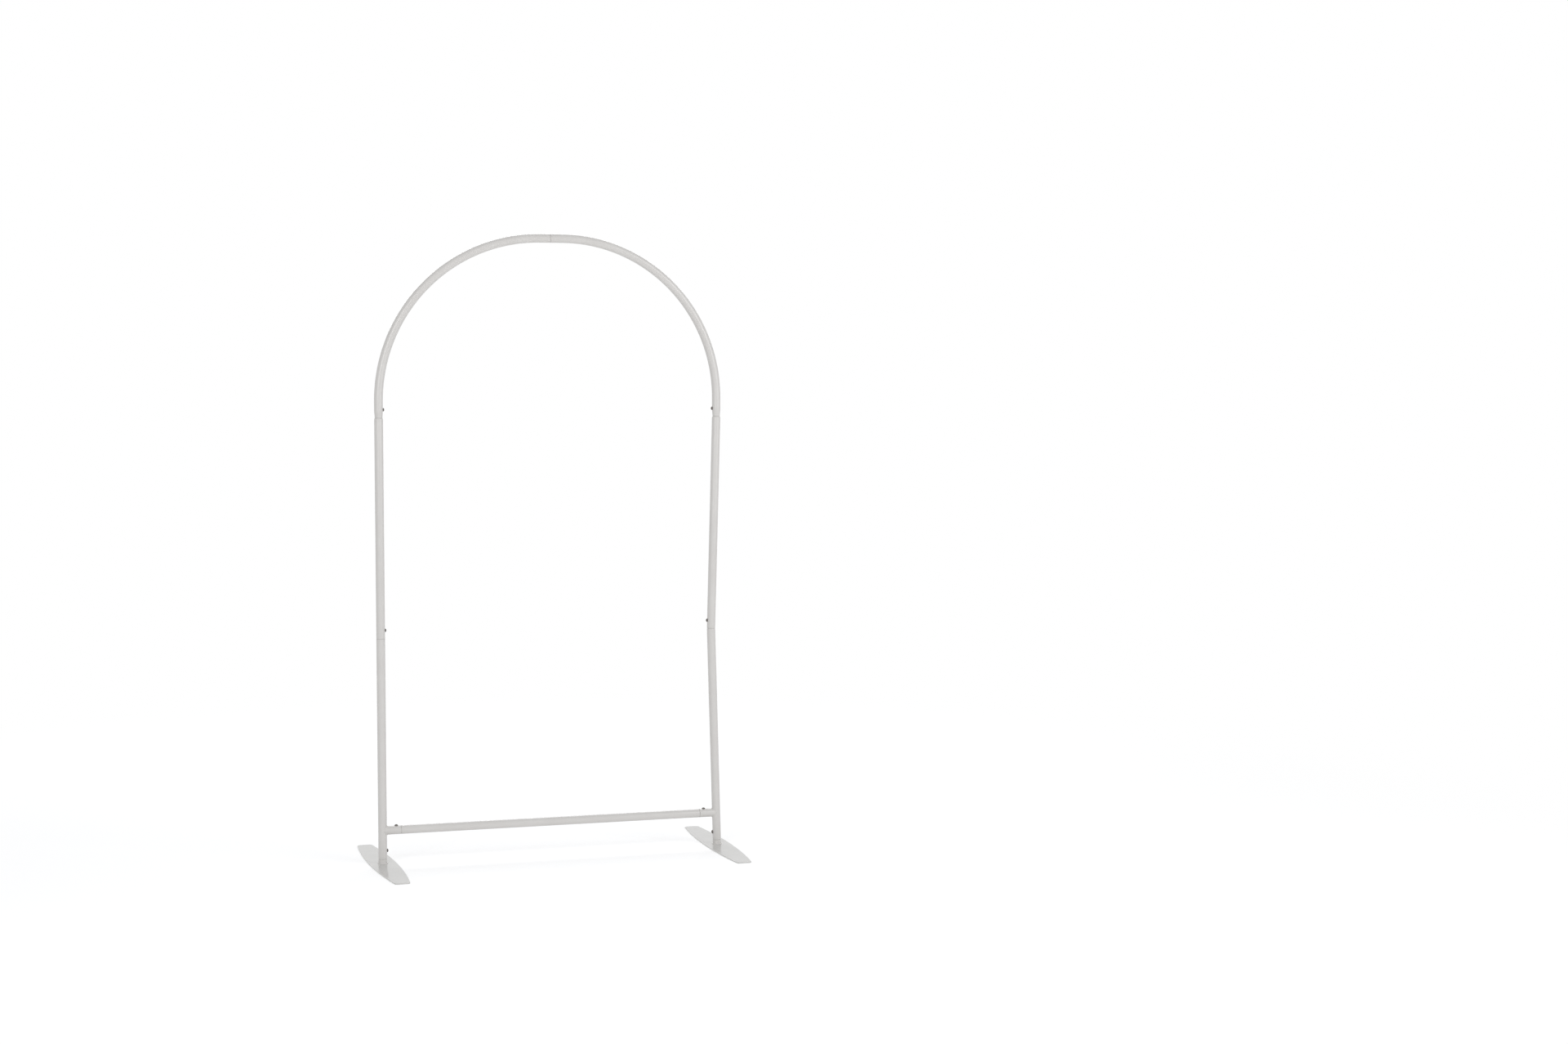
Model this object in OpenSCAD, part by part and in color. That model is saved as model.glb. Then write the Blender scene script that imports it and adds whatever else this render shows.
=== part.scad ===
// Free-standing arch frame of powder-coated round steel tube, in millimetres.
// The arch stands in the XZ plane, X to the right, Z up, with the origin on the floor at its middle.
// The tubes plug into each other: one end of each pair is reduced, and a screw through both holds it.

/* [Arch] */
// Distance between the centre lines of the two legs
arch_w = 1000; // [700:10:1300]
// Height of the highest point of the centre line
arch_h = 1800; // [1600:10:2400]
// Straight length at the lower end of the left bent top tube
bend_start = 46; // [46:2:120]
// Straight length at the upper end of the left bent top tube
bend_end_left = 29; // [20:1:80]
// Straight length at the upper end of the right bent top tube, which is bent a little tighter
bend_end_right = 40; // [20:1:80]
// Height of the joint between the two straight tubes of a leg
middle_h = 652; // [450:2:800]
// How far the left leg leans in at its middle joint
lean_left = 0; // [-8:1:20]
// How far the right leg leans in at its middle joint
lean_right = 17; // [-8:1:20]

/* [Tube] */
// Outside diameter of all tubes
tube_d = 25; // [22:0.5:32]
// Wall of all tubes
wall = 1.2; // [0.8:0.1:1.5]
// Length of the reduced end of a leg tube
spigot = 45; // [40:1:50]
// Length of the reduced end of the crossbar
bar_spigot = 26; // [22:1:30]
// Clearance all round between a reduced end and the tube over it
slip = 0.25; // [0.15:0.05:0.4]
// Narrowest gap left where two tube ends meet
seam = 0.5; // [0.2:0.1:0.8]
// Length of the rounded shoulder that leads in to a reduced end
shoulder = 1.5; // [1:0.25:3]
// Rounding of the cut rim of a tube
rim = 0.4; // [0.2:0.1:0.6]
// Outside diameter to which the lower ends of the bent top tubes are drawn in
neck_d = 22.4; // [21:0.2:23.6]
// Length over which they are drawn in
neck_l = 22; // [12:1:30]
// Length of the rounded shoulder below a drawn-in end
neck_shoulder = 5; // [3:0.5:8]

/* [Screws] */
// Diameter of the screw holes in the outer tubes
hole_d = 6.6; // [5:0.1:7]
// Diameter of the threaded holes in the reduced ends
thread_d = 5.2; // [4:0.1:5.5]
// Distance from a leg joint up to its screw
screw_up = 24; // [16:1:30]
// Distance from a crossbar joint back to its screw
bar_screw_back = 13; // [9:1:16]

/* [Feet] */
// Length of a foot plate
foot_l = 600; // [400:10:800]
// Width of a foot plate at its middle
foot_w = 78; // [60:1:100]
// Width of a foot plate at its ends, before the corners are rounded
foot_end_w = 42; // [34:1:50]
// Thickness of a foot plate
foot_t = 3; // [2:0.5:6]
// Radius of the corners of a foot plate
foot_corner = 10; // [4:1:14]
// How far the left foot plate's front end is turned in, in degrees
toe_in_left = 2; // [-3:0.5:3]
// How far the right foot plate's front end is turned in, in degrees
toe_in_right = 0.5; // [-3:0.5:3]
// Height of the collar that is welded to a foot plate
collar_h = 13; // [8:1:24]
// Size of the weld round a collar
weld = 2.5; // [1.5:0.5:4]

/* [Crossbar] */
// Height of the crossbar's centre line
bar_h = 98; // [90:1:200]
// Length of a crossbar stub beyond the side of its leg
stub_l = 40; // [34:1:60]
// Gap between a stub's shaped end and the leg, filled by the weld
cope_gap = 0.3; // [0.2:0.1:0.5]

/* [Hidden] */
$fn = 64;

light_coat = [0.87, 0.87, 0.87];
shade_coat = [0.80, 0.79, 0.77];

// Cuts run this much past the faces they open.
cut = 1;
// Width of the flat step round the root of a reduced end
step = 0.4;
// Length of the lead at the tip of a reduced end
lead = 1;

half_w = arch_w / 2;
tube_r = tube_d / 2;
bore_r = tube_r - wall;
plug_r = bore_r - slip;
neck_r = neck_d / 2;
neck_plug_r = neck_r - wall - slip;
foot_joint_h = foot_t + collar_h;

// Radius of a bend's centre line, and the height of its lower end.
function bend_r(left) = half_w - (left ? bend_end_left : bend_end_right);
function bend_h(left) = arch_h - bend_r(left);
top_joint_h = bend_h(true) - bend_start;

// The reduced end at the top of the arch runs into the bend until half of its clearance is used up.
top_plug = bend_end_right + sqrt(bend_r(false) * slip);

// A leg's three joints, as [distance from the middle plane, height], on the side where X is positive.
foot_joint = [half_w, foot_joint_h];
top_joint = [half_w, top_joint_h];
function middle_joint(lean) = [half_w - lean, middle_h];

// Angle from upright, and length, of the straight line between two joints.
function slope(a, b) = atan2(b[0] - a[0], b[1] - a[1]);
function lower_slope(lean) = slope(foot_joint, middle_joint(lean));
function upper_slope(lean) = slope(middle_joint(lean), top_joint);

// A tube that meets its neighbour at an angle starts a little further off, so that their rims stay clear.
function gap_at(turn) = seam + tube_r * abs(sin(turn));

// Places children at a joint, with their Z along a tube of the given slope.
module at_joint(joint, angle = 0) {
    translate([joint[0], 0, joint[1]]) rotate([0, angle, 0]) children();
}

// Mirrors children to the side where X is negative.
module side(left) {
    mirror([left ? 1 : 0, 0, 0]) children();
}

// Outside of a plain tube along Z.
module tube_outside(z0, z1) {
    translate([0, 0, z0]) cylinder(h = z1 - z0, r = tube_r);
}

// Outside of a tube whose upper end rounds in to a flat step of the given radius.
module shouldered_outside(z0, z1, rise = shoulder, step_r = plug_r + step) {
    drop = tube_r - step_r;
    round_r = (rise * rise + drop * drop) / (2 * drop);
    rotate_extrude() {
        translate([0, z0]) square([tube_r, z1 - rise - z0]);
        intersection() {
            translate([tube_r - round_r, z1 - rise]) circle(r = round_r);
            translate([0, z1 - rise - cut]) square([tube_r, rise + cut]);
        }
    }
}

// Takes the sharp edge off a cut end at z0.
module rim_cut(z0, r = tube_r) {
    rotate_extrude() polygon([
        [r - rim - cut, z0 - cut], [r + cut, z0 - cut], [r + cut, z0 + rim + cut]
    ]);
}

// Space inside a tube, up to the wall under its shoulder.
module tube_inside(z0, z1, rise = shoulder) {
    translate([0, 0, z0]) cylinder(h = z1 - z0 - rise - wall, r = bore_r);
}

// Outside of a reduced end, which rises from z = 0.
module plug_outside(length, r = plug_r) {
    rotate_extrude() polygon([
        [0, -wall], [r, -wall], [r, length - lead], [r - lead / 2, length], [0, length]
    ]);
}

// Space inside a reduced end, which runs on through the shoulder into the tube.
module plug_inside(length, r = plug_r, rise = shoulder) {
    root = rise + wall + cut;
    translate([0, 0, -root]) cylinder(h = length + root + cut, r = r - wall);
}

// Lower end of a bent top tube, drawn in towards the joint.
module neck_outside(z0, z1) {
    rotate_extrude() polygon([
        [0, z0], [neck_r, z0], [tube_r, neck_l], [tube_r, z1], [0, z1]
    ]);
}

module neck_inside(z0, z1) {
    rotate_extrude() polygon([
        [0, z0], [neck_r - wall, z0], [bore_r, neck_l], [bore_r, z1], [0, z1]
    ]);
}

// Screw hole from the tube's axis out through the wall on the inner side of the arch.
module inner_hole(d) {
    translate([0, 0, screw_up]) rotate([0, -90, 0]) cylinder(h = tube_d, d = d);
}

// Outline of a foot plate: two long shallow arcs, blunt ends and rounded corners.
module foot_outline() {
    rise = (foot_w - foot_end_w) / 2;
    big_r = (pow(foot_l / 2, 2) + rise * rise) / (2 * rise);
    big_x = foot_w / 2 - big_r;
    corner_y = foot_l / 2 - foot_corner;
    corner_x = big_x + sqrt(pow(big_r - foot_corner, 2) - pow(corner_y, 2));
    corner_a = atan2(corner_y, corner_x - big_x);
    reach = 3 * foot_corner;
    difference() {
        intersection() {
            translate([big_x, 0]) circle(r = big_r, $fn = 720);
            translate([-big_x, 0]) circle(r = big_r, $fn = 720);
            square([foot_w, foot_l], center = true);
        }
        for (sx = [-1, 1], sy = [-1, 1]) {
            scale([sx, sy]) translate([corner_x, corner_y]) difference() {
                polygon([
                    [0, 0], [reach * cos(corner_a), reach * sin(corner_a)], [reach, reach], [0, reach]
                ]);
                circle(r = foot_corner);
            }
        }
    }
}

module foot_plate(left, toe_in) {
    color(light_coat) side(left) translate([half_w, 0, 0]) rotate([0, 0, -toe_in]) {
        linear_extrude(foot_t) foot_outline();
    }
}

// Round collar with the weld at its foot, standing on z = 0.
module collar_outside() {
    shouldered_outside(0, collar_h);
    rotate_extrude() difference() {
        translate([tube_r - wall, 0]) square([weld + wall, weld]);
        translate([tube_r + weld, weld]) circle(r = weld);
    }
}

// Collar on the plate, with the reduced end that the leg stands over.
module foot_stub(left, lean) {
    leg = lower_slope(lean);
    color(shade_coat) side(left) difference() {
        union() {
            at_joint([half_w, foot_t]) collar_outside();
            at_joint(foot_joint, leg) plug_outside(spigot);
        }
        at_joint([half_w, foot_t]) tube_inside(-cut, collar_h);
        at_joint(foot_joint, leg) plug_inside(spigot);
        at_joint(foot_joint, leg) inner_hole(thread_d);
    }
}

// Straight leg tube between two joints. It turns through the next slope at its upper joint.
module post(low, high, below, above, rise, step_r, r) {
    own = slope(low, high);
    length = norm(high - low);
    start = gap_at(own - below);
    difference() {
        union() {
            at_joint(low, own) shouldered_outside(start, length, rise, step_r);
            at_joint(high, above) plug_outside(spigot, r);
        }
        at_joint(low, own) tube_inside(start - cut, length, rise);
        at_joint(low, own) rim_cut(start);
        at_joint(low, own) inner_hole(hole_d);
        at_joint(high, above) plug_inside(spigot, r, rise);
        at_joint(high, above) inner_hole(thread_d);
    }
}

module lower_post(left, lean) {
    color(shade_coat) side(left) {
        post(foot_joint, middle_joint(lean), 0, upper_slope(lean), shoulder, plug_r + step, plug_r);
    }
}

module upper_post(left, lean) {
    color(light_coat) side(left) {
        post(middle_joint(lean), top_joint, lower_slope(lean), 0, neck_shoulder, neck_r, neck_plug_r);
    }
}

// Quarter bend of a tube of the given radius, from the side of the arch to its top.
module bend(left, r) {
    side(left) translate([half_w - bend_r(left), 0, bend_h(left)]) rotate([90, 0, 0]) {
        rotate_extrude(angle = 90) translate([bend_r(left), 0]) circle(r = r);
    }
}

// Drawn-in lower end of a bent top tube.
module arc_foot_outside(left, start) {
    side(left) at_joint(top_joint) neck_outside(start, bend_h(left) - top_joint_h);
}

module arc_foot_inside(left, start) {
    side(left) at_joint(top_joint) {
        neck_inside(start - cut, bend_h(left) - top_joint_h);
        rim_cut(start, neck_r);
        inner_hole(hole_d);
    }
}

// The left top tube is reduced at the top of the arch and goes into the right one.
module arc_left(lean) {
    top = [0, arch_h];
    start = gap_at(upper_slope(lean));
    color(light_coat) difference() {
        union() {
            arc_foot_outside(true, start);
            bend(true, tube_r);
            at_joint(top, 90) shouldered_outside(-bend_end_left, 0);
            at_joint(top, 90) plug_outside(top_plug);
        }
        arc_foot_inside(true, start);
        bend(true, bore_r);
        at_joint(top, 90) tube_inside(-bend_end_left, 0);
        at_joint(top, 90) plug_inside(top_plug);
    }
}

module arc_right(lean) {
    top = [seam, arch_h];
    start = gap_at(upper_slope(lean));
    length = bend_end_right - seam;
    color(light_coat) difference() {
        union() {
            arc_foot_outside(false, start);
            bend(false, tube_r);
            at_joint(top, 90) tube_outside(0, length);
        }
        arc_foot_inside(false, start);
        bend(false, bore_r);
        at_joint(top, 90) translate([0, 0, -cut]) cylinder(h = length + cut, r = bore_r);
        at_joint(top, 90) rim_cut(0);
    }
}

// Where a leg's centre line and the crossbar's seam lie, measured from the middle plane.
function leg_x(lean) = half_w - lean * (bar_h - foot_joint_h) / (middle_h - foot_joint_h);
function bar_seam_x(lean) = leg_x(lean) - tube_r - stub_l;

// Short tube welded to the leg, its outer end shaped to the leg's round side.
module bar_stub(left, lean) {
    start = [bar_seam_x(lean), bar_h];
    color(shade_coat) side(left) difference() {
        at_joint(start, 90) tube_outside(0, stub_l + tube_r);
        at_joint(start, 90) translate([0, 0, -cut]) cylinder(h = stub_l + tube_d, r = bore_r);
        at_joint(foot_joint, lower_slope(lean)) cylinder(h = middle_h / 2, r = tube_r + cope_gap);
        at_joint(start) translate([bar_screw_back, 0, 0]) cylinder(h = tube_d, d = hole_d);
        at_joint(start, 90) rim_cut(0);
    }
}

// One end of the crossbar, from the middle plane to the tip of its reduced end.
module bar_end_outside(seam_x) {
    at_joint([0, bar_h], 90) shouldered_outside(-cut, seam_x - seam);
    at_joint([seam_x - seam, bar_h], 90) plug_outside(bar_spigot);
}

module bar_end_inside(seam_x) {
    at_joint([0, bar_h], 90) tube_inside(-cut, seam_x - seam);
    at_joint([seam_x - seam, bar_h], 90) plug_inside(bar_spigot);
    at_joint([seam_x + bar_screw_back, bar_h]) cylinder(h = tube_d, d = thread_d);
}

// One straight tube with both ends reduced, so that they go into the stubs.
module crossbar() {
    color(shade_coat) difference() {
        union() {
            side(true) bar_end_outside(bar_seam_x(lean_left));
            side(false) bar_end_outside(bar_seam_x(lean_right));
        }
        side(true) bar_end_inside(bar_seam_x(lean_left));
        side(false) bar_end_inside(bar_seam_x(lean_right));
    }
}

foot_plate(true, toe_in_left);  // foot_plate_left
foot_plate(false, toe_in_right);  // foot_plate_right
foot_stub(true, lean_left);  // foot_stub_left
foot_stub(false, lean_right);  // foot_stub_right
lower_post(true, lean_left);  // lower_post_left
lower_post(false, lean_right);  // lower_post_right
bar_stub(true, lean_left);  // bar_stub_left
bar_stub(false, lean_right);  // bar_stub_right
upper_post(true, lean_left);  // upper_post_left
upper_post(false, lean_right);  // upper_post_right
arc_left(lean_left);
arc_right(lean_right);
crossbar();
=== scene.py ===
# %% [markdown]
# A free-standing arch of sleeved steel tube
#
# The solid model of the arch is loaded as a fixed frame: every tube, plate and stub is already at its real
# size and place, in metres. This lesson dresses it. The tubes are turned and bent again as smooth walls with
# rolled rims, the plates get rounded edges, and screws and weld beads are added, each with its own finish.

# %% Load the frame
import math

import bmesh
import bpy
from mathutils import Matrix, Vector


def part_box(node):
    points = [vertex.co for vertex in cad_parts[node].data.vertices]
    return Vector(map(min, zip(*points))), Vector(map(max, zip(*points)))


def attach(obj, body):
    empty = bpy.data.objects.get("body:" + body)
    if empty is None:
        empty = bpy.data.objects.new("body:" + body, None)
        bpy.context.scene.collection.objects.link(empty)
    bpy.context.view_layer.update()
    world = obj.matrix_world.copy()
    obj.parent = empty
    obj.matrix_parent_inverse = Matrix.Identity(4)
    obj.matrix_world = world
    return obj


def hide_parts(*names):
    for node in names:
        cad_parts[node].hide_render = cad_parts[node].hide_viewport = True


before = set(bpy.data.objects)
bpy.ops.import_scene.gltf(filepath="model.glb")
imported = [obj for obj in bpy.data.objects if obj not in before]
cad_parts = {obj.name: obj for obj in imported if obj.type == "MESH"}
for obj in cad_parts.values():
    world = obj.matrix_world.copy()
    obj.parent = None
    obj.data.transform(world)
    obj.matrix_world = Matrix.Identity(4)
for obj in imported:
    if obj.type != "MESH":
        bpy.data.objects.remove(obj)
bpy.context.scene.view_settings.view_transform = "Standard"
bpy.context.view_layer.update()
print("solids:", sorted(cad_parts))

# %% [markdown]
# Sizes
#
# The frame only knows boxes, so the lengths that shape a tube are repeated here in millimetres, as they are
# on the workshop drawing. Each finished piece is compared with the box of its solid, so a slip would show.

# %% Write down the sizes
MM = 0.001

HALF_W = 500.0
LEAN_RIGHT = 17.0
FOOT_JOINT = 16.0
MIDDLE_JOINT = 652.0
TOP_JOINT = 1283.0
ARCH_H = 1800.0
BEND_END = {"left": 29.0, "right": 40.0}
BEND_R = {side_name: HALF_W - end for side_name, end in BEND_END.items()}

TUBE_R = 12.5
WALL = 1.2
BORE_R = TUBE_R - WALL
SLIP = 0.25
PLUG_R = BORE_R - SLIP
SPIGOT = 45.0
SHOULDER = 1.5
NECK_R = 11.2
NECK_L = 22.0
NECK_SHOULDER = 5.0
SEAM = 0.5
RIM = 0.4
WELD = 2.5

PLATE_T = 3.0
BAR_H = 98.0
STUB_L = 40.0
BAR_SPIGOT = 26.0
COPE_GAP = 0.3

post_low, post_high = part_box("upper_post_left")
print("solid tube radius", round((post_high.x - post_low.x) / MM / 2, 2), "mm, drawn", TUBE_R)

# %% [markdown]
# The camera
#
# The photograph was taken at chest height, a little to the left of the arch's own front, with a lens a bit
# longer than normal. A plain perspective camera stands at that place, aims slightly down, and keeps the
# photograph's framing, so that the render can be laid over it.

# %% Place the camera
LENS_MM = 57.4
SENSOR_MM = 36.0
CAMERA_PLACE = Vector((-1.555, -7.140, 1.4145))
CAMERA_TURN = math.radians(-17.61)
CAMERA_PITCH = math.radians(90 - 3.435)

camera_data = bpy.data.cameras.new("camera")
camera_data.lens = LENS_MM
camera_data.sensor_width = SENSOR_MM
camera = bpy.data.objects.new("camera", camera_data)
camera.location = CAMERA_PLACE
camera.rotation_euler = (CAMERA_PITCH, 0, CAMERA_TURN)
bpy.context.scene.collection.objects.link(camera)
bpy.context.scene.camera = camera
print("camera at", tuple(round(c, 2) for c in camera.location))

# %% [markdown]
# Nodes and colours
#
# One small function adds a node with its settings and links, for materials and for Geometry Nodes alike, and
# another one uses it for arithmetic. Colours are written as the sRGB hex values that an eye would pick, and a
# third function turns them into the linear values that light is added in.

# %% Helpers for nodes


def linear(code):
    """An sRGB hex colour as linear red, green, blue and alpha."""
    channels = [int(code[i : i + 2], 16) / 255 for i in (0, 2, 4)]
    return [c / 12.92 if c <= 0.04045 else ((c + 0.055) / 1.055) ** 2.4 for c in channels] + [1.0]


def add(tree, kind, settings=None, **inputs):
    """Adds a node. Settings are its properties; inputs are values, or the sockets or nodes to link from."""
    node = tree.nodes.new(kind)
    for name, value in (settings or {}).items():
        setattr(node, name, value)
    for name, value in inputs.items():
        socket = node.inputs[int(name[1:])] if name[0] == "_" else node.inputs[name.replace("_", " ")]
        if isinstance(value, bpy.types.Node):
            value = value.outputs[0]
        if isinstance(value, bpy.types.NodeSocket):
            tree.links.new(value, socket)
        else:
            socket.default_value = value
    return node


def calc(tree, operation, *values):
    """Adds a node that calculates with its values in order."""
    inputs = {f"_{k}": value for k, value in enumerate(values)}
    return add(tree, "ShaderNodeMath", {"operation": operation}, **inputs)


def new_material(name):
    """An empty node material and its tree."""
    material = bpy.data.materials.new(name)
    material.use_nodes = True
    material.node_tree.nodes.clear()
    return material, material.node_tree


# %% [markdown]
# Turning and bending
#
# A steel tube has a wall of even thickness, and its ends are drawn in, rounded or reduced on a machine that
# turns. So the wall is drawn once, as a flat section: a row of points at a distance from the axis and a
# height along it. A Geometry Nodes tree turns that section about the axis and then bends the result through
# a quarter circle where one is asked for. A curve with a round profile would be quicker, but it has no wall
# and no rims. The same tree turns the screws, whose hexagon is a circle with its sides pushed in.

# %% Build the tree that turns and bends
SAME_SPOT = 0.002


def new_tree(name, sockets):
    """A Geometry Nodes tree with named inputs and one result."""
    tree = bpy.data.node_groups.new(name, "GeometryNodeTree")
    tree.interface.new_socket(name="Result", in_out="OUTPUT", socket_type="NodeSocketGeometry")
    for title, kind, start in sockets:
        socket = tree.interface.new_socket(name=title, in_out="INPUT", socket_type="NodeSocket" + kind)
        if start is not None:
            socket.default_value = start
    return tree, tree.nodes.new("NodeGroupInput").outputs, tree.nodes.new("NodeGroupOutput")


turning, given, result = new_tree("turn_and_bend", [
    ("Section", "Geometry", None), ("Sides", "Int", 96), ("Closed ring", "Int", 1),
    ("Straight length", "Float", 10.0), ("Bend radius", "Float", 1.0), ("Bend length", "Float", 0.0),
    ("Cope radius", "Float", 0.0), ("Cope distance", "Float", 10.0), ("Finish", "Material", None),
])
count = add(turning, "GeometryNodeAttributeDomainSize", Geometry=given["Section"])
rows = calc(turning, "ADD", given["Sides"], 1.0)
stations = calc(turning, "ADD", count, given["Closed ring"])
sheet = add(turning, "GeometryNodeMeshGrid", Size_X=1.0, Size_Y=1.0, Vertices_X=stations, Vertices_Y=rows)
index = add(turning, "GeometryNodeInputIndex")
centred = calc(turning, "ADD", index, 0.5)
share = calc(turning, "DIVIDE", centred, rows)
station = calc(turning, "FLOOR", share)
wrapped = calc(turning, "MODULO", station, count)
turned = calc(turning, "MULTIPLY", station, rows)
side = calc(turning, "SUBTRACT", index, turned)
part = calc(turning, "DIVIDE", side, given["Sides"])
angle = calc(turning, "MULTIPLY", part, -math.tau)

spot = add(turning, "GeometryNodeInputPosition")
sampling = {"data_type": "FLOAT_VECTOR", "domain": "POINT"}
section = given["Section"]
drawn = add(turning, "GeometryNodeSampleIndex", sampling, Geometry=section, Value=spot, Index=wrapped)
point = add(turning, "ShaderNodeSeparateXYZ", _0=drawn)

shifted = calc(turning, "ADD", angle, math.tau + math.pi / 6)
sixth = calc(turning, "MODULO", shifted, math.pi / 3)
from_flat = calc(turning, "SUBTRACT", sixth, math.pi / 6)
flat = calc(turning, "COSINE", from_flat)
hexagon = calc(turning, "DIVIDE", 1.0, flat)
hexness = calc(turning, "DIVIDE", point.outputs["Y"], MM)
shape = add(turning, "ShaderNodeMix", {"data_type": "FLOAT"}, _0=hexness, _2=1.0, _3=hexagon)
radius = calc(turning, "MULTIPLY", point.outputs["X"], shape)
cosine = calc(turning, "COSINE", angle)
sine = calc(turning, "SINE", angle)
across = calc(turning, "MULTIPLY_ADD", radius, cosine, given["Bend radius"])
deep = calc(turning, "MULTIPLY", radius, sine)

deep_square = calc(turning, "MULTIPLY", deep, deep)
leg_square = calc(turning, "MULTIPLY", given["Cope radius"], given["Cope radius"])
left_over = calc(turning, "SUBTRACT", leg_square, deep_square)
above_zero = calc(turning, "MAXIMUM", left_over, 0.0)
saddle = calc(turning, "SQRT", above_zero)
limit = calc(turning, "SUBTRACT", given["Cope distance"], saddle)
along = calc(turning, "MINIMUM", point.outputs["Z"], limit)

past = calc(turning, "SUBTRACT", along, given["Straight length"])
not_before = calc(turning, "MAXIMUM", past, 0.0)
in_bend = calc(turning, "MINIMUM", not_before, given["Bend length"])
beyond = calc(turning, "SUBTRACT", not_before, in_bend)
below = calc(turning, "SUBTRACT", along, not_before)
bent = calc(turning, "DIVIDE", in_bend, given["Bend radius"])
back_turn = calc(turning, "MULTIPLY", bent, -1.0)
back_radius = calc(turning, "MULTIPLY", given["Bend radius"], -1.0)
ring = add(turning, "ShaderNodeCombineXYZ", X=across, Y=deep, Z=beyond)
swung = add(turning, "ShaderNodeVectorRotate", {"rotation_type": "Y_AXIS"}, Vector=ring, Angle=back_turn)
foot = add(turning, "ShaderNodeCombineXYZ", X=back_radius, Z=below)
placed = add(turning, "ShaderNodeVectorMath", {"operation": "ADD"}, _0=swung, _1=foot)

wall = add(turning, "GeometryNodeSetPosition", Geometry=sheet, Position=placed)
closed = add(turning, "GeometryNodeMergeByDistance", Geometry=wall, Distance=SAME_SPOT * MM)
smooth = add(turning, "GeometryNodeSetShadeSmooth", Geometry=closed)
finished = add(turning, "GeometryNodeSetMaterial", Geometry=smooth, Material=given["Finish"])
real = add(turning, "GeometryNodeRealizeInstances", Geometry=finished)
turning.links.new(real.outputs[0], result.inputs[0])
print(turning.name, "has", len(turning.nodes), "nodes")

# %% [markdown]
# From a tree to a piece
#
# A piece that leaves this file has to be a plain mesh at the origin. So each tree runs once on a small seed
# mesh, its result is copied out, and the seed is thrown away. The piece is then put in its place by moving
# its points, not its object.

# %% Helpers that make pieces
SHARP = math.radians(40)


def seed_mesh(name, points, links=()):
    """A mesh of bare points in millimetres, and the edges between them."""
    mesh = bpy.data.meshes.new(name)
    mesh.from_pydata([Vector(p) * MM for p in points], links, [])
    return mesh


def grow(name, mesh, tree, place, **values):
    """Runs a tree on a seed mesh, moves the result into place and returns it as an object at the origin."""
    seed = bpy.data.objects.new(name + "_seed", mesh)
    bpy.context.scene.collection.objects.link(seed)
    modifier = seed.modifiers.new("tree", "NODES")
    modifier.node_group = tree
    for item in tree.interface.items_tree:
        key = item.name.replace(" ", "_")
        if item.in_out == "INPUT" and key in values:
            modifier[item.identifier] = values[key]
    view = bpy.context.evaluated_depsgraph_get()
    made = bpy.data.meshes.new_from_object(seed.evaluated_get(view))
    seed.modifiers.remove(modifier)
    bpy.data.objects.remove(seed)
    made.transform(place)
    made.set_sharp_from_angle(angle=SHARP)
    return new_piece(name, made)


def new_piece(name, mesh):
    """A piece of the arch, which rides on its one body."""
    mesh.name = name
    piece = bpy.data.objects.new(name, mesh)
    bpy.context.scene.collection.objects.link(piece)
    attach(piece, "root")
    return piece


def off_by(piece, node):
    """How far a piece's box is from its solid's box, in millimetres."""
    low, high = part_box(node)
    points = [v.co for v in piece.data.vertices]
    gaps = [abs(min(p[k] for p in points) - low[k]) for k in range(3)]
    gaps += [abs(max(p[k] for p in points) - high[k]) for k in range(3)]
    return round(max(gaps) / MM, 2)


# %% [markdown]
# The ends of the tubes
#
# Every tube is a plain stock tube with its ends worked. A socket end is cut square and deburred. A reduced
# end is squeezed down in a die until it slips into the next tube, which leaves a rounded shoulder. The
# lower ends of the two bent tubes are drawn in a little over the last stretch, which shows as a waist. Each
# end is written as the outside going out to the tip and the inside coming back, from the joint at zero. The
# straight wall beside it gets a ring at a short distance, so that the shading of the end doesn't spread.

# %% Draw the ends
NEAR = 3.0
DEBURR = 0.3
TIP_L = 1.0
TIP_R = 0.5
STEP = 0.4
WAIST_STEPS = 14
WAIST_FALL = 0.8
WAIST_TO_TIP = 1.2


def bow(r, z, radius, start, stop, steps=5):
    """Points on an arc about (r, z), angles in degrees."""
    turns = [math.radians(start + (stop - start) * k / steps) for k in range(steps + 1)]
    return [(r + radius * math.cos(t), z + radius * math.sin(t)) for t in turns]


def socket_end():
    """A square cut with a rolled rim."""
    outside = [(TUBE_R, -NEAR), (TUBE_R, -RIM - 0.6)] + bow(TUBE_R - RIM, -RIM, RIM, 0, 90)
    inside = [(BORE_R + DEBURR, 0.0), (BORE_R, -DEBURR), (BORE_R, -NEAR)]
    return outside, inside


def reduced_end(length, rise=SHOULDER, step_r=PLUG_R + STEP, plug_r=PLUG_R):
    """A shoulder that rounds in to a step, and the thinner end that goes into the next tube."""
    drop = TUBE_R - step_r
    round_r = (rise * rise + drop * drop) / (2 * drop)
    round_end = math.degrees(math.asin(min(rise / round_r, 1.0)))
    shoulder = bow(TUBE_R - round_r, -rise, round_r, 0, round_end, 8)
    outside = [(TUBE_R, -rise - NEAR), (TUBE_R, -rise - 0.5)] + shoulder
    outside += [(plug_r, 0.0), (plug_r, length - TIP_L), (plug_r - TIP_R, length)]
    inside = [(plug_r - WALL, length), (plug_r - WALL, -rise - WALL)]
    inside += [(BORE_R, -rise - WALL), (BORE_R, -rise - 2 * NEAR)]
    return outside, inside


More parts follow.
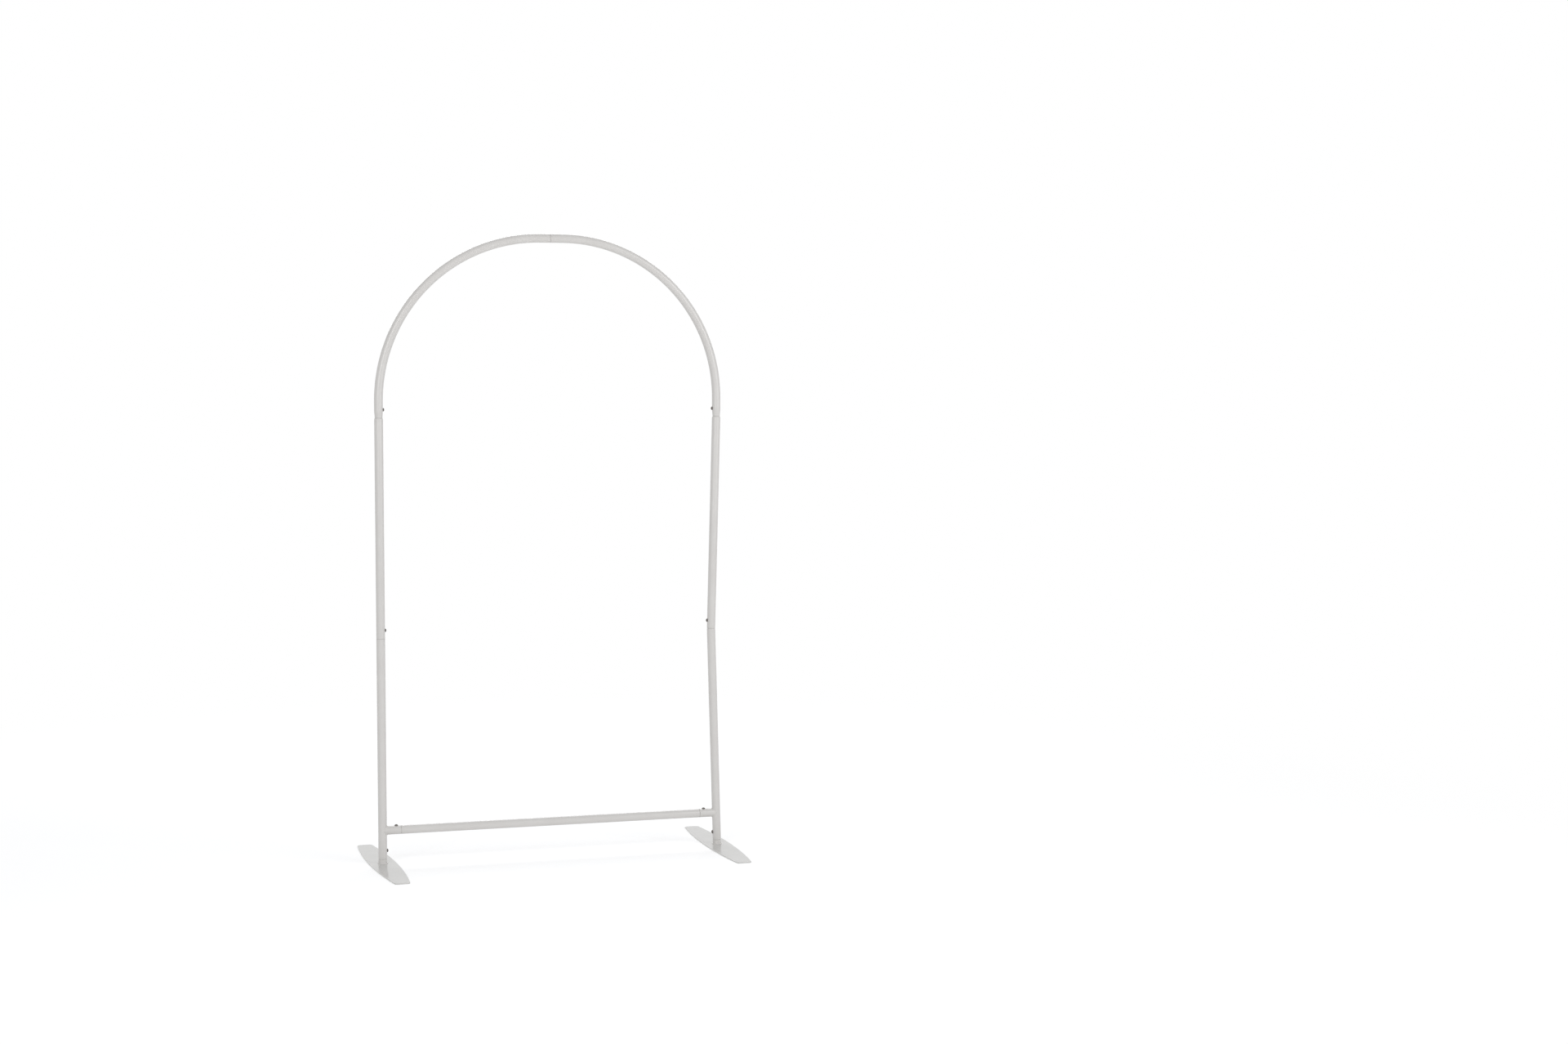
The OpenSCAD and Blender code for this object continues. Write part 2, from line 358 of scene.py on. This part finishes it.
def drawn_in_end():
    """A smooth waist over the last stretch of a bent tube."""
    depth = TUBE_R - NECK_R
    waist = [(TUBE_R, -NECK_L - 4.0), (TUBE_R, -NECK_L - 1.0)]
    for k in range(WAIST_STEPS + 1):
        share = k / WAIST_STEPS
        fall = (0.5 - 0.5 * math.cos(math.pi * share)) ** WAIST_FALL
        waist.append((TUBE_R - depth * fall, -NECK_L + (NECK_L - WAIST_TO_TIP) * share))
    outside = waist + bow(NECK_R - RIM, -RIM, RIM, 0, 90)
    inside = [(r - WALL, z) for r, z in reversed(waist)]
    return outside, [(NECK_R - WALL, 0.0)] + inside


def coped_end():
    """A cut that the tree shapes to the round side of the leg."""
    return [(TUBE_R, 0.0)], [(BORE_R, 0.0)]


def welded_base():
    """The foot of a collar, which widens into its weld."""
    outside = [(TUBE_R, -2 * NEAR)] + bow(TUBE_R + WELD, -WELD, WELD, 180, 90)
    return outside, [(BORE_R, 0.0), (BORE_R, -NEAR)]


def wall_section(name, low, low_end, high, high_end, bend=None):
    """The closed section of a tube between two ends, as a seed mesh. A bend is its start, length and rings."""
    rise = [(r, high + z) for r, z in high_end[0]]
    fall = [(r, high + z) for r, z in high_end[1]]
    foot_out = [(r, low - z) for r, z in reversed(low_end[0])]
    foot_in = [(r, low - z) for r, z in reversed(low_end[1])]
    heights = []
    if bend:
        start, length, rings = bend
        heights = [start + length * k / rings for k in range(rings + 1)]
    outside = foot_out + [(TUBE_R, z) for z in heights] + rise
    inside = fall + [(BORE_R, z) for z in reversed(heights)] + foot_in
    return seed_mesh(name + "_section", [(r, 0.0, z) for r, z in outside + inside])


print("a reduced end has", len(sum(reduced_end(SPIGOT), [])), "points")

# %% [markdown]
# Powder coat on the tubes
#
# The tubes are sprayed with a white polyester powder that melts in an oven to a hard gloss film of about a
# tenth of a millimetre. Melted powder never flows out quite flat: it keeps a fine ripple, called orange peel,
# which breaks up the edges of a reflection. The tint and the shine drift a little with the thickness of the
# film.

# %% Make the tube coat
COAT_IOR = 1.5


def in_millimetres(tree):
    """The place of a point on its object, in millimetres."""
    where = add(tree, "ShaderNodeTexCoord").outputs["Object"]
    return add(tree, "ShaderNodeVectorMath", {"operation": "SCALE"}, _0=where, Scale=1 / MM)


def drifting(tree, noise, low, high):
    """A value that goes from low to high with a noise, most of which lies between 0.3 and 0.7."""
    return add(tree, "ShaderNodeMapRange", Value=noise, _1=0.3, _2=0.7, _3=low, _4=high)


def mixed(tree, noise, low, high):
    """A colour that goes from one hex value to another with a noise."""
    mix = add(tree, "ShaderNodeMix", {"data_type": "RGBA"}, Factor=noise, _6=linear(low), _7=linear(high))
    return mix.outputs[2]


def powder_coat(name, tints, shine, drift_mm, peel_mm, peel_depth_mm, peel_strength):
    """A gloss coat with its two tints and two roughnesses, and the sizes of its drift and of its peel."""
    material, tree = new_material(name)
    spread = in_millimetres(tree)
    drift = add(tree, "ShaderNodeTexNoise", Vector=spread, Scale=1 / drift_mm, Detail=2.0)
    peel = add(tree, "ShaderNodeTexNoise", Vector=spread, Scale=1 / peel_mm, Detail=1.0)
    bump = add(tree, "ShaderNodeBump", Strength=peel_strength, Distance=peel_depth_mm * MM, Height=peel)
    tint, haze = mixed(tree, drift, *tints), drifting(tree, drift, *shine)
    film = add(tree, "ShaderNodeBsdfPrincipled", Base_Color=tint, Roughness=haze, IOR=COAT_IOR, Normal=bump)
    add(tree, "ShaderNodeOutputMaterial", Surface=film)
    return material


tube_coat = powder_coat(
    "gloss_powder_coat_on_tube", ("D3D0CD", "DAD8D5"), (0.16, 0.22),
    drift_mm=70, peel_mm=3.2, peel_depth_mm=0.12, peel_strength=0.3,
)
print("made", tube_coat.name)

# %% [markdown]
# The tubes of the legs
#
# Each leg has a collar on its plate, a lower tube, an upper tube and a bent tube. The right leg isn't quite
# straight: its two straight tubes meet at a slight angle, and the reduced end inside that joint follows the
# upper one. The tree's bend does that too, with a small radius. The left leg is the right one turned half
# round the arch's axis, since a tube has no front.

# %% Turn the leg tubes
INWARD = Matrix.Rotation(math.pi, 4, "Z")
KINK_R = 20.0
STRAIGHT = 0.001
LEGS = {"left": (INWARD, 0.0), "right": (Matrix(), LEAN_RIGHT)}


def slopes(lean):
    """How far the lower and the upper tube of a leg lean, in radians."""
    return math.atan2(-lean, MIDDLE_JOINT - FOOT_JOINT), math.atan2(lean, TOP_JOINT - MIDDLE_JOINT)


def at_joint(x, z, slope=0.0):
    """The place of something that starts at a joint and runs along a slope, given for the right-hand leg."""
    return Matrix.Translation(Vector((x, 0, z)) * MM) @ Matrix.Rotation(slope, 4, "Y")


def turn_tube(name, mesh, place, bend=None, **values):
    """Turns one tube of the arch and hides its solid."""
    if bend:
        start, length, radius = bend
        values.update(Straight_length=start * MM, Bend_length=length * MM, Bend_radius=radius * MM)
    piece = grow(name + "_coated", mesh, turning, place, Finish=tube_coat, **values)
    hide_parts(name)
    print(name, len(piece.data.polygons), "faces, off its solid by", off_by(piece, name), "mm")


def kink(length, turn):
    """The bend that turns a reduced end to the next tube's slope, centred on the joint."""
    if abs(turn) < STRAIGHT:
        return None
    return length - KINK_R * abs(turn) / 2, KINK_R * abs(turn), math.copysign(KINK_R, -turn)


for side_name, (turned_round, lean) in LEGS.items():
    lower, upper = slopes(lean)
    lower_l = math.hypot(lean, MIDDLE_JOINT - FOOT_JOINT)
    upper_l = math.hypot(lean, TOP_JOINT - MIDDLE_JOINT)

    collar = wall_section("collar", PLATE_T, welded_base(), FOOT_JOINT, reduced_end(SPIGOT))
    on_plate = turned_round @ at_joint(HALF_W, 0)
    turn_tube("foot_stub_" + side_name, collar, on_plate, kink(FOOT_JOINT, lower))

    above_seam = SEAM + TUBE_R * abs(math.sin(lower))
    lower_post = wall_section("lower", above_seam, socket_end(), lower_l, reduced_end(SPIGOT))
    on_stub = turned_round @ at_joint(HALF_W, FOOT_JOINT, lower)
    turn_tube("lower_post_" + side_name, lower_post, on_stub, kink(lower_l, upper - lower))

    above_seam = SEAM + TUBE_R * abs(math.sin(upper - lower))
    neck_end = reduced_end(SPIGOT, NECK_SHOULDER, NECK_R, NECK_R - WALL - SLIP)
    upper_post = wall_section("upper", above_seam, socket_end(), upper_l, neck_end)
    on_lower = turned_round @ at_joint(HALF_W - lean, MIDDLE_JOINT, upper)
    turn_tube("upper_post_" + side_name, upper_post, on_lower, kink(upper_l, -upper))

# %% [markdown]
# The bent top
#
# Two quarter arcs make the round top. The left one is reduced at the crown and goes into the right one, so
# the two meet in a single thin line. That straight end may run a little way into the bend, as far as its
# clearance lets it. Sixty rings along each bend keep its highlight smooth.

# %% Turn and bend the arcs
RINGS = 60
crown_plug = BEND_END["right"] + math.sqrt(BEND_R["right"] * SLIP)
tops = {"left": (0.0, reduced_end(crown_plug)), "right": (SEAM, socket_end())}
for side_name, (short, top_end) in tops.items():
    turned_round, lean = LEGS[side_name]
    radius = BEND_R[side_name]
    low = ARCH_H - TOP_JOINT - radius
    length = radius * math.pi / 2
    whole = low + length + BEND_END[side_name] - short
    above_seam = SEAM + NECK_R * abs(math.sin(slopes(lean)[1]))
    arc = wall_section("arc", above_seam, drawn_in_end(), whole, top_end, (low, length, RINGS))
    turn_tube("arc_" + side_name, arc, turned_round @ at_joint(HALF_W, TOP_JOINT), (low, length, radius))

# %% [markdown]
# The crossbar and its stubs
#
# A short stub is welded to the inner side of each leg, its end shaped to the leg's round side. A fitter cuts
# that saddle with a hole saw; here the tree stops each line of the stub where it meets the leg. The bar
# has both ends reduced and drops between the stubs.

# %% Turn the crossbar and its stubs
SIDEWAYS = Matrix.Rotation(math.radians(90), 4, "Y")
share_up = (BAR_H - FOOT_JOINT) / (MIDDLE_JOINT - FOOT_JOINT)
leg_x = {"left": HALF_W, "right": HALF_W - LEAN_RIGHT * share_up}
seam_x = {key: x - TUBE_R - STUB_L for key, x in leg_x.items()}
reach = STUB_L + TUBE_R
for side_name, (turned_round, lean) in LEGS.items():
    stub = wall_section("stub", 0.0, socket_end(), reach, coped_end())
    beside_leg = turned_round @ at_joint(seam_x[side_name], BAR_H) @ SIDEWAYS
    saddle = {"Cope_radius": (TUBE_R + COPE_GAP) * MM, "Cope_distance": reach * MM}
    turn_tube("bar_stub_" + side_name, stub, beside_leg, **saddle)
bar_end = reduced_end(BAR_SPIGOT)
bar = wall_section("bar", -seam_x["left"] + SEAM, bar_end, seam_x["right"] - SEAM, bar_end)
turn_tube("crossbar", bar, at_joint(0, BAR_H) @ SIDEWAYS)

# %% [markdown]
# The foot plates
#
# Each foot is a flat plate cut from 3 mm steel: two long shallow arcs with blunt ends. Cutting leaves a
# sharp edge that would shed its coat, so it is tumbled first, which rounds it. The plate is built as rings of
# its outline, each a little further in as the edge rounds over, and closed with one flat face above and one
# below. A bevel on a filled curve would do the same, but it wrinkles where the arcs meet the corners.

# %% Build the foot plates
FOOT_L = 600.0
FOOT_W = 78.0
FOOT_END_W = 42.0
CORNER = 10.0
EDGE = 0.6
EDGE_STEPS = 5
FLAT_RING = 2.0
SIDE_STEPS = 40
CORNER_STEPS = 24
DOUBLE = 1e-6
TOE_IN = {"left": 2.0, "right": 0.5}


def quarter_outline():
    """A quarter of the plate's outline with its outward directions, from the wide middle to the end."""
    rise = (FOOT_W - FOOT_END_W) / 2
    big_r = ((FOOT_L / 2) ** 2 + rise**2) / (2 * rise)
    big_x = FOOT_W / 2 - big_r
    corner_y = FOOT_L / 2 - CORNER
    corner_x = big_x + math.sqrt((big_r - CORNER) ** 2 - corner_y**2)
    meet = math.atan2(corner_y, corner_x - big_x)
    turns = [(big_x, 0.0, big_r, meet * k / SIDE_STEPS) for k in range(SIDE_STEPS)]
    for k in range(CORNER_STEPS + 1):
        turns.append((corner_x, corner_y, CORNER, meet + (math.pi / 2 - meet) * k / CORNER_STEPS))
    return [((x + r * math.cos(t), y + r * math.sin(t)), (math.cos(t), math.sin(t))) for x, y, r, t in turns]


def whole_outline():
    """The four quarters joined, anticlockwise, without doubles."""
    quarter = quarter_outline()
    loop = []
    for sx, sy in ((1, 1), (-1, 1), (-1, -1), (1, -1)):
        piece = quarter if sx * sy > 0 else list(reversed(quarter))
        loop += [((p[0] * sx, p[1] * sy), (n[0] * sx, n[1] * sy)) for p, n in piece]
    return [pair for k, pair in enumerate(loop) if math.dist(pair[0], loop[k - 1][0]) > DOUBLE]


def foot_plate(name, centre_x, toe_in, finish):
    """A plate with rounded edges, flat on the floor."""
    loop = whole_outline()
    levels = [(FLAT_RING, 0.0)]
    for k in range(EDGE_STEPS + 1):
        t = k * math.pi / 2 / EDGE_STEPS
        levels.append((EDGE - EDGE * math.sin(t), EDGE - EDGE * math.cos(t)))
    levels += [(inset, PLATE_T - height) for inset, height in reversed(levels)]
    form = bmesh.new()
    rings = []
    for inset, height in levels:
        spots = [(p[0] - n[0] * inset, p[1] - n[1] * inset, height) for p, n in loop]
        rings.append([form.verts.new([c * MM for c in spot]) for spot in spots])
    for low, high in zip(rings, rings[1:]):
        for k in range(len(loop)):
            form.faces.new((low[k - 1], low[k], high[k], high[k - 1]))
    form.faces.new(list(reversed(rings[0])))
    form.faces.new(rings[-1])
    for face in form.faces:
        face.smooth = True
    mesh = bpy.data.meshes.new(name)
    form.to_mesh(mesh)
    form.free()
    mesh.transform(at_joint(centre_x, 0) @ Matrix.Rotation(math.radians(toe_in), 4, "Z"))
    mesh.materials.append(finish)
    piece = new_piece(name + "_coated", mesh)
    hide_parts(name)
    print(name, len(mesh.polygons), "faces, off its solid by", off_by(piece, name), "mm")


# %% [markdown]
# Powder coat on the plates
#
# The plates hang flat in the oven, so the melted powder levels better on them than on the tubes: they are
# glossier, and mirror the legs that stand on them.

# %% Make the plate coat
plate_coat = powder_coat(
    "gloss_powder_coat_on_plate", ("CCCBC8", "D3D2CF"), (0.15, 0.22),
    drift_mm=90, peel_mm=5, peel_depth_mm=0.1, peel_strength=0.15,
)
foot_plate("foot_plate_left", -HALF_W, TOE_IN["left"], plate_coat)
foot_plate("foot_plate_right", HALF_W, -TOE_IN["right"], plate_coat)

# %% [markdown]
# Screws
#
# Each joint of the legs is held by one M6 button-head screw, dark zinc plated, put in from the inner side of
# the arch; the crossbar's two go in from above. One screw is turned with the same tree as the tubes, from the
# tip of its shank to the bottom of its hexagon. The middle number of each point says how much of the hexagon it
# follows. A second tree sets a copy on each joint, turned as it happened to be when it was tight.

# %% Make the zinc finish
CLOUD_MM = 2.5
PIT_DEPTH = 0.05

zinc, tree = new_material("dark_zinc_plated_steel")
cloud = add(tree, "ShaderNodeTexNoise", Vector=in_millimetres(tree), Scale=1 / CLOUD_MM, Detail=3.0)
pits = add(tree, "ShaderNodeBump", Strength=0.2, Distance=PIT_DEPTH * MM, Height=cloud)
tint, dull = mixed(tree, cloud, "5E5A57", "77726E"), drifting(tree, cloud, 0.3, 0.48)
plating = add(tree, "ShaderNodeBsdfPrincipled", Base_Color=tint, Metallic=1.0, Roughness=dull, Normal=pits)
add(tree, "ShaderNodeOutputMaterial", Surface=plating)
print("made", zinc.name)

# %% Turn one screw
HEAD_R = 5.25
HEAD_H = 3.3
HEX_R = 2.0
HEX_DEPTH = 2.1
SHANK_R = 2.5
SHANK_L = 9.0
TOP_R = 2.8
RIM_H = 0.55
EASE = 0.25
SHANK_TIP = 0.5
SCREW_SIDES = 48

cap_low = (HEAD_H**2 - RIM_H**2 + TOP_R**2 - HEAD_R**2) / (2 * (HEAD_H - RIM_H))
cap_r = math.hypot(HEAD_R, RIM_H - cap_low)
cap_from = math.degrees(math.asin((RIM_H - cap_low) / cap_r))
cap_to = math.degrees(math.asin((HEAD_H - cap_low) / cap_r))
shank = [(0, 0, -SHANK_L), (SHANK_R - SHANK_TIP, 0, -SHANK_L)]
shank += [(SHANK_R, 0, -SHANK_L + SHANK_TIP), (SHANK_R, 0, 0)]
rim = [(HEAD_R - EASE, 0, 0), (HEAD_R, 0, EASE)]
cap = [(r, 0, z) for r, z in bow(0, cap_low, cap_r, cap_from, cap_to, 10)]
recess = [
    (HEX_R + 0.45, 0.4, HEAD_H),
    (HEX_R + 0.12, 1, HEAD_H),
    (HEX_R, 1, HEAD_H - 0.15),
    (HEX_R, 1, HEAD_H - HEX_DEPTH),
    (0, 0, HEAD_H - HEX_DEPTH - 0.6),
]
section = seed_mesh("screw_section", shank + rim + cap + recess)
screw = grow("button_head_screw", section, turning, Matrix(), Sides=SCREW_SIDES, Closed_ring=0, Finish=zinc)
print("one screw:", len(screw.data.polygons), "faces")

# %% Build the tree that sets the screws
setting, given, result = new_tree("set_screws", [
    ("Points", "Geometry", None), ("Screw", "Object", None), ("Seed", "Int", 4), ("Finish", "Material", None),
])
way = add(setting, "GeometryNodeInputNamedAttribute", {"data_type": "FLOAT_VECTOR"}, Name="way")
aimed = add(setting, "FunctionNodeAlignRotationToVector", {"axis": "Z"}, Vector=way)
number = {"data_type": "FLOAT"}
chance = add(setting, "FunctionNodeRandomValue", number, _2=0.0, _3=math.tau, Seed=given["Seed"])
spin = add(setting, "ShaderNodeCombineXYZ", Z=chance.outputs[1])
turned = add(setting, "FunctionNodeRotateRotation", {"rotation_space": "LOCAL"}, _0=aimed, _1=spin)
model = add(setting, "GeometryNodeObjectInfo", Object=given["Screw"])
copies = {"Instance": model.outputs["Geometry"], "Rotation": turned}
set_in = add(setting, "GeometryNodeInstanceOnPoints", Points=given["Points"], **copies)
real = add(setting, "GeometryNodeRealizeInstances", Geometry=set_in)
finished = add(setting, "GeometryNodeSetMaterial", Geometry=real, Material=given["Finish"])
setting.links.new(finished.outputs[0], result.inputs[0])
print(setting.name, "has", len(setting.nodes), "nodes")

# %% Set the screws
SCREW_UP = 24.0
BAR_SCREW_BACK = 13.0
spots, ways = [], []
for side_name, (turned_round, lean) in LEGS.items():
    lower, upper = slopes(lean)
    middle_x = HALF_W - lean
    joints = ((HALF_W, FOOT_JOINT, lower), (middle_x, MIDDLE_JOINT, upper), (HALF_W, TOP_JOINT, 0.0))
    for x, z, slope in joints:
        joint = turned_round @ at_joint(x, z, slope)
        spots.append(joint @ (Vector((-TUBE_R, 0, SCREW_UP)) * MM))
        ways.append(joint.to_3x3() @ Vector((-1, 0, 0)))
    stub_middle = turned_round @ at_joint(seam_x[side_name] + BAR_SCREW_BACK, BAR_H)
    spots.append(stub_middle @ (Vector((0, 0, TUBE_R)) * MM))
    ways.append(Vector((0, 0, 1)))
points = bpy.data.meshes.new("screw_points")
points.from_pydata(spots, [], [])
way_data = points.attributes.new("way", "FLOAT_VECTOR", "POINT").data
way_data.foreach_set("vector", [c for way in ways for c in way])
screws = grow("joint_screws", points, setting, Matrix(), Screw=screw, Finish=zinc)
bpy.data.objects.remove(screw)
print(len(spots), "screws,", len(screws.data.polygons), "faces")

# %% [markdown]
# Weld beads
#
# The stubs are welded to the legs and the collars to the plates. A bead is laid as a row of small overlapping
# pools, and the powder coat softens it but doesn't hide it. A third tree sweeps a round bead along a path
# and swells it once for every pool. Round a stub the bead is thinner at the sides, where the torch hardly
# reaches. It is under the same coat as the tubes.

# %% Build the tree that lays a bead
welding, given, result = new_tree("lay_bead", [
    ("Path", "Geometry", None), ("Bead radius", "Float", 0.0018), ("Pool length", "Float", 0.0022),
    ("Ripple", "Float", 0.24), ("Finish", "Material", None),
])
path = add(welding, "GeometryNodeMeshToCurve", Mesh=given["Path"])
step = calc(welding, "DIVIDE", given["Pool length"], 6.0)
even = add(welding, "GeometryNodeResampleCurve", {"mode": "LENGTH"}, Curve=path, Length=step)
total = add(welding, "GeometryNodeSplineLength")
pools = calc(welding, "DIVIDE", total.outputs["Length"], given["Pool length"])
whole_pools = calc(welding, "ROUND", pools)
progress = add(welding, "GeometryNodeSplineParameter")
laid = calc(welding, "MULTIPLY", progress.outputs["Factor"], whole_pools)
phase = calc(welding, "FRACT", laid)
swell = calc(welding, "PINGPONG", phase, 0.5)
ripple = calc(welding, "MULTIPLY_ADD", swell, given["Ripple"], 1.0)
fullness = add(welding, "GeometryNodeInputNamedAttribute", {"data_type": "FLOAT"}, Name="fullness")
body = calc(welding, "MULTIPLY", ripple, fullness)
thick = calc(welding, "MULTIPLY", body, given["Bead radius"])
pool = add(welding, "GeometryNodeCurvePrimitiveCircle", Resolution=16, Radius=1.0)
swept = add(welding, "GeometryNodeCurveToMesh", Curve=even, Profile_Curve=pool, Scale=thick)
smooth = add(welding, "GeometryNodeSetShadeSmooth", Geometry=swept)
finished = add(welding, "GeometryNodeSetMaterial", Geometry=smooth, Material=given["Finish"])
real = add(welding, "GeometryNodeRealizeInstances", Geometry=finished)
welding.links.new(real.outputs[0], result.inputs[0])
print(welding.name, "has", len(welding.nodes), "nodes")

# %% Lay the beads
STUB_BEAD_R = 1.7
COLLAR_BEAD_R = 1.6
SIDE_FULLNESS = 0.45
RING = [math.tau * k / 96 for k in range(96)]


def lay_bead(name, spots, fullness, bead_r):
    """A closed bead along points in millimetres."""
    mesh = seed_mesh(name + "_path", spots, [(k, (k + 1) % len(spots)) for k in range(len(spots))])
    mesh.attributes.new("fullness", "FLOAT", "POINT").data.foreach_set("value", fullness)
    piece = grow(name, mesh, welding, Matrix(), Bead_radius=bead_r * MM, Finish=tube_coat)
    print(name, len(piece.data.polygons), "faces")


for side_name, sign in (("left", -1), ("right", 1)):
    saddle_points = []
    for t in RING:
        y, up = (TUBE_R - 0.2) * math.sin(t), (TUBE_R + 0.1) * math.cos(t)
        saddle_points.append((sign * (leg_x[side_name] - math.sqrt(TUBE_R**2 - y * y)), y, BAR_H + up))
    fullness = [SIDE_FULLNESS + (1.0 - SIDE_FULLNESS) * math.cos(t) ** 2 for t in RING]
    lay_bead("stub_weld_" + side_name, saddle_points, fullness, STUB_BEAD_R)
    base_r = TUBE_R + 0.7
    base = [(sign * HALF_W + base_r * math.cos(t), base_r * math.sin(t), PLATE_T + 0.6) for t in RING]
    lay_bead("collar_weld_" + side_name, base, [1.0] * len(RING), COLLAR_BEAD_R)

# %% [markdown]
# The studio
#
# A white tube on white shows its roundness only through what it mirrors. In the photograph two bright streaks
# run down the upper part of each post and follow the arcs round, and the left and the top edges are darker:
# two tall softboxes stand in front, well off the floor, and less light comes from the far left and from above.
# The same two lamps stand here, and a wide one high up behind the arch, so that its back is lit as plainly.
# Their powers were found by lighting the arch with each of them alone and adding the pictures up. What the
# lamps don't light, the world does: a weak grey dome, which the camera and every reflection see as white.

# %% Light the studio
DOME = 0.53
AIM = Vector((0, 0, 0.9))
FRONT_FAR = 5.0
FRONT_UP = 2.4

world = bpy.data.worlds.new("studio")
world.use_nodes = True
bpy.context.scene.world = world
sky = world.node_tree
sky.nodes.clear()


def sees_white(tree):
    """One for the rays that should meet a white background: straight, mirrored or through glass."""
    ray = add(tree, "ShaderNodeLightPath").outputs
    seen = calc(tree, "MAXIMUM", ray["Is Camera Ray"], ray["Is Glossy Ray"])
    return calc(tree, "MAXIMUM", seen, ray["Is Transmission Ray"]).outputs[0]


dome = add(sky, "ShaderNodeBackground", Color=linear("F4F5F7"), Strength=DOME)
white = add(sky, "ShaderNodeBackground", Color=(1, 1, 1, 1), Strength=1.0)
both = add(sky, "ShaderNodeMixShader", _0=sees_white(sky), _1=dome, _2=white)
add(sky, "ShaderNodeOutputWorld", Surface=both)


def softbox(name, place, size, power):
    """A lamp with a flat front, aimed at the middle of the arch, which the camera doesn't see."""
    lamp = bpy.data.lights.new(name, "AREA")
    lamp.shape = "RECTANGLE"
    lamp.size, lamp.size_y = size
    lamp.energy = power
    box = bpy.data.objects.new(name, lamp)
    box.location = place
    box.rotation_euler = (AIM - Vector(place)).to_track_quat("-Z", "Y").to_euler()
    box.visible_camera = False
    bpy.context.scene.collection.objects.link(box)


def in_front(degrees):
    """A place in front of the arch, turned from straight ahead to the right."""
    turn = math.radians(degrees)
    return FRONT_FAR * math.sin(turn), -FRONT_FAR * math.cos(turn), FRONT_UP


softbox("tall_left", in_front(-34), (2.6, 3.2), 63)
softbox("tall_right", in_front(38), (2.4, 3.2), 68)
softbox("back", (0.6, 4.6, 3.4), (5.0, 2.4), 95)

# %% [markdown]
# The floor
#
# The photograph's floor is so evenly white that only a trace of shadow is left under the plates. A pale matt
# disc catches the lamps and the shadow. On top of that it glows a little for rays that look for a background,
# which lifts it to white without lighting the arch, and far out it fades to plain white, so there is no
# horizon.

# %% Lay the floor
FLOOR_R = 14.0
FADE_FROM = 1.2
FADE_TO = 3.6
LIFT = 0.275

floor_mesh = bpy.data.meshes.new("floor")
form = bmesh.new()
bmesh.ops.create_circle(form, cap_ends=True, segments=96, radius=FLOOR_R)
form.to_mesh(floor_mesh)
form.free()
floor = bpy.data.objects.new("floor", floor_mesh)
bpy.context.scene.collection.objects.link(floor)
paper, tree = new_material("white_studio_floor")
where = add(tree, "ShaderNodeTexCoord").outputs["Object"]
far = add(tree, "ShaderNodeVectorMath", {"operation": "LENGTH"}, _0=where).outputs["Value"]
fade = add(tree, "ShaderNodeMapRange", {"interpolation_type": "SMOOTHSTEP"}, _0=far, _1=FADE_FROM, _2=FADE_TO)
matt = add(tree, "ShaderNodeBsdfDiffuse", Color=linear("F8F8F8"))
lift = calc(tree, "MULTIPLY", sees_white(tree), LIFT)
glow = add(tree, "ShaderNodeEmission", Color=(1, 1, 1, 1), Strength=lift)
lifted = add(tree, "ShaderNodeAddShader", _0=matt, _1=glow)
amount = calc(tree, "MULTIPLY", fade.outputs["Result"], sees_white(tree))
plain = add(tree, "ShaderNodeEmission", Color=(1, 1, 1, 1), Strength=1.0)
surface = add(tree, "ShaderNodeMixShader", _0=amount, _1=lifted, _2=plain)
add(tree, "ShaderNodeOutputMaterial", Surface=surface)
floor_mesh.materials.append(paper)
print("floor", 2 * FLOOR_R, "m across")
